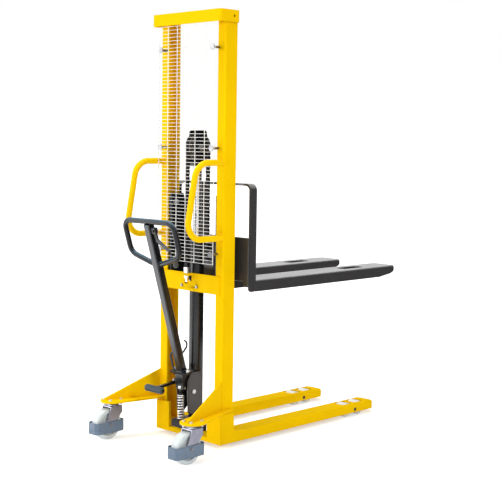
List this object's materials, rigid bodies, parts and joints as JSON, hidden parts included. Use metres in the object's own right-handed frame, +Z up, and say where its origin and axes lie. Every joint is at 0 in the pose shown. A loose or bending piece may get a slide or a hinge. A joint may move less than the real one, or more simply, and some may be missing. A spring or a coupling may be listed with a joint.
{
  "type": "hand pallet stacker",
  "caption": "Hand-pumped pallet stacker: straddle legs, channel mast with wire guard, chain-lifted fork carriage, tilting pump handle, foot pedal and rear swivel casters with toe guards.",
  "frame": {"origin": "on the floor under the middle of the bounding box", "axes": "+X towards the fork tips, +Y to the operator's left, +Z up"},
  "size_m": [1.672, 0.71, 2.073],
  "materials": {
    "yellow_paint": "satin yellow paint",
    "yellow_tube": "satin yellow paint on tube",
    "black_paint": "satin charcoal paint",
    "grey_paint": "satin dark grey paint",
    "cylinder_grey": "dark grey paint",
    "pump_black": "black painted casting",
    "guard_wire": "pale coated wire",
    "zinc": "zinc plated",
    "chrome_rod": "hard chrome",
    "spring_steel": "zinc plated spring wire",
    "chain_steel": "oiled dark steel",
    "roller_steel": "turned steel",
    "white_nylon": "cast nylon",
    "caster_nylon": "pale grey nylon",
    "slate_paint": "satin slate paint",
    "lever_black": "moulded black grip",
    "rubber": "moulded rubber"
  },
  "bodies": {
    "chassis": {"mast_channel_right": "yellow_paint", "mast_channel_left": "yellow_paint", "top_cap": "yellow_paint", "cross_plate": "yellow_paint", "chain_anchor_bolt": "zinc", "leg_right": "yellow_paint", "leg_left": "yellow_paint", "base_plate": "yellow_paint", "load_wheel_axles": "chain_steel", "caster_arm_right": "yellow_paint", "caster_arm_left": "yellow_paint", "caster_heads": "zinc", "caster_bolts": "zinc", "grab_handle_right": "yellow_tube", "grab_handle_left": "yellow_tube", "wire_guard": "guard_wire", "guard_standoffs": "zinc", "lift_cylinder": "cylinder_grey", "cylinder_gland": "cylinder_grey", "cylinder_clamp": "yellow_paint", "clamp_bolts": "zinc", "pump_block": "pump_black", "pump_spring": "spring_steel", "chain_fixed_run": "chain_steel", "handle_bracket": "grey_paint", "pivot_pins": "zinc"},
    "ram": {"lift_ram": "chrome_rod", "chain_yoke": "cylinder_grey", "chain_wheel_axle": "zinc", "chain_wrap": "chain_steel", "chain_lift_run": "chain_steel"},
    "chain_wheel": {"chain_wheel": "roller_steel"},
    "carriage": {"carriage_cheeks": "black_paint", "carriage_plate": "black_paint", "backrest": "black_paint", "fork_right": "black_paint", "fork_left": "black_paint", "roller_axles": "zinc"},
    "upper_rollers": {"carriage_rollers_upper": "roller_steel"},
    "lower_rollers": {"carriage_rollers_lower": "roller_steel"},
    "handle": {"handle_rocker": "grey_paint", "cam_roller": "zinc", "handle_shaft": "grey_paint", "handle_loop": "grey_paint"},
    "hand_lever": {"hand_lever": "lever_black"},
    "pedal": {"pedal_lever": "black_paint", "pedal_rubber": "rubber"},
    "plunger": {"pump_plunger": "zinc"},
    "caster_right": {"caster_fork_right": "zinc", "toe_guard_right": "slate_paint", "caster_axle_right": "zinc"},
    "caster_wheel_right": {"caster_wheel_right": "caster_nylon"},
    "load_wheel_front_right": {"load_wheel_front_right": "white_nylon"},
    "load_wheel_rear_right": {"load_wheel_rear_right": "white_nylon"},
    "caster_left": {"caster_fork_left": "zinc", "toe_guard_left": "slate_paint", "caster_axle_left": "zinc"},
    "caster_wheel_left": {"caster_wheel_left": "caster_nylon"},
    "load_wheel_front_left": {"load_wheel_front_left": "white_nylon"},
    "load_wheel_rear_left": {"load_wheel_rear_left": "white_nylon"}
  },
  "joints": [
    {"name": "ram_lift", "type": "slide", "parent": "chassis", "child": "ram", "axis": [0, 0, 1], "range_m": [-0.359, 0.397], "deforming": ["chain_fixed_run"]},
    {"name": "carriage_lift", "type": "slide", "parent": "ram", "child": "carriage", "axis": [0, 0, 1], "range_m": [-0.359, 0.397], "deforming": ["chain_lift_run"]},
    {"name": "chain_wheel_spin", "type": "hinge", "parent": "ram", "child": "chain_wheel", "pos_m": [-0.4225, 0, 1.436], "axis": [0, -1, 0], "range_deg": [-308, 340.5]},
    {"name": "upper_roller_spin", "type": "hinge", "parent": "carriage", "child": "upper_rollers", "pos_m": [-0.4225, 0, 1.165], "axis": [0, 1, 0], "range_deg": [-1365.46, 1509.88]},
    {"name": "lower_roller_spin", "type": "hinge", "parent": "carriage", "child": "lower_rollers", "pos_m": [-0.4225, 0, 0.85], "axis": [0, -1, 0], "range_deg": [-1365.46, 1509.88]},
    {"name": "handle_pump", "type": "hinge", "parent": "chassis", "child": "handle", "pos_m": [-0.473, 0, 0.252], "axis": [0, -1, 0], "range_deg": [0, 45], "stiffness_Nm_per_rad": 22, "springref_deg": -74.48},
    {"name": "plunger_stroke", "type": "slide", "parent": "chassis", "child": "plunger", "axis": [0, 0, 1], "range_m": [-0.03788, 0.0002], "deforming": ["pump_spring"]},
    {"name": "hand_lever_squeeze", "type": "hinge", "parent": "handle", "child": "hand_lever", "pos_m": [-0.72106, -0.034, 1.04827], "axis": [-0.9588, 0, -0.284], "range_deg": [0, 16], "stiffness_Nm_per_rad": 1.2, "springref_deg": -34.38},
    {"name": "foot_pedal_press", "type": "hinge", "parent": "chassis", "child": "pedal", "pos_m": [-0.483, 0.072, 0.287], "axis": [0, -1, 0], "range_deg": [0, 18], "stiffness_Nm_per_rad": 8, "springref_deg": -28.65},
    {"name": "caster_swivel_right", "type": "hinge", "parent": "chassis", "child": "caster_right", "pos_m": [-0.707, -0.295, 0.18], "axis": [0, 0, 1], "continuous": true},
    {"name": "caster_roll_right", "type": "hinge", "parent": "caster_right", "child": "caster_wheel_right", "pos_m": [-0.746, -0.295, 0.075], "axis": [0, 1, 0], "continuous": true},
    {"name": "load_wheel_front_right_roll", "type": "hinge", "parent": "chassis", "child": "load_wheel_front_right", "pos_m": [0.58, -0.1865, 0.037], "axis": [0, 1, 0], "continuous": true},
    {"name": "load_wheel_rear_right_roll", "type": "hinge", "parent": "chassis", "child": "load_wheel_rear_right", "pos_m": [0.482, -0.1865, 0.037], "axis": [0, 1, 0], "continuous": true},
    {"name": "caster_swivel_left", "type": "hinge", "parent": "chassis", "child": "caster_left", "pos_m": [-0.707, 0.295, 0.18], "axis": [0, 0, 1], "continuous": true},
    {"name": "caster_roll_left", "type": "hinge", "parent": "caster_left", "child": "caster_wheel_left", "pos_m": [-0.746, 0.295, 0.075], "axis": [0, 1, 0], "continuous": true},
    {"name": "load_wheel_front_left_roll", "type": "hinge", "parent": "chassis", "child": "load_wheel_front_left", "pos_m": [0.58, 0.1865, 0.037], "axis": [0, 1, 0], "continuous": true},
    {"name": "load_wheel_rear_left_roll", "type": "hinge", "parent": "chassis", "child": "load_wheel_rear_left", "pos_m": [0.482, 0.1865, 0.037], "axis": [0, 1, 0], "continuous": true}
  ],
  "couplings": [
    {"joint": "carriage_lift", "follows": "ram_lift", "ratio": 1},
    {"joint": "chain_wheel_spin", "follows": "ram_lift", "rad_per_m": 14.925},
    {"joint": "upper_roller_spin", "follows": "ram_lift", "rad_per_m": 66.335},
    {"joint": "lower_roller_spin", "follows": "ram_lift", "rad_per_m": 66.335},
    {"joint": "plunger_stroke", "follows": "handle_pump", "m_per_rad": -0.047973}
  ]
}
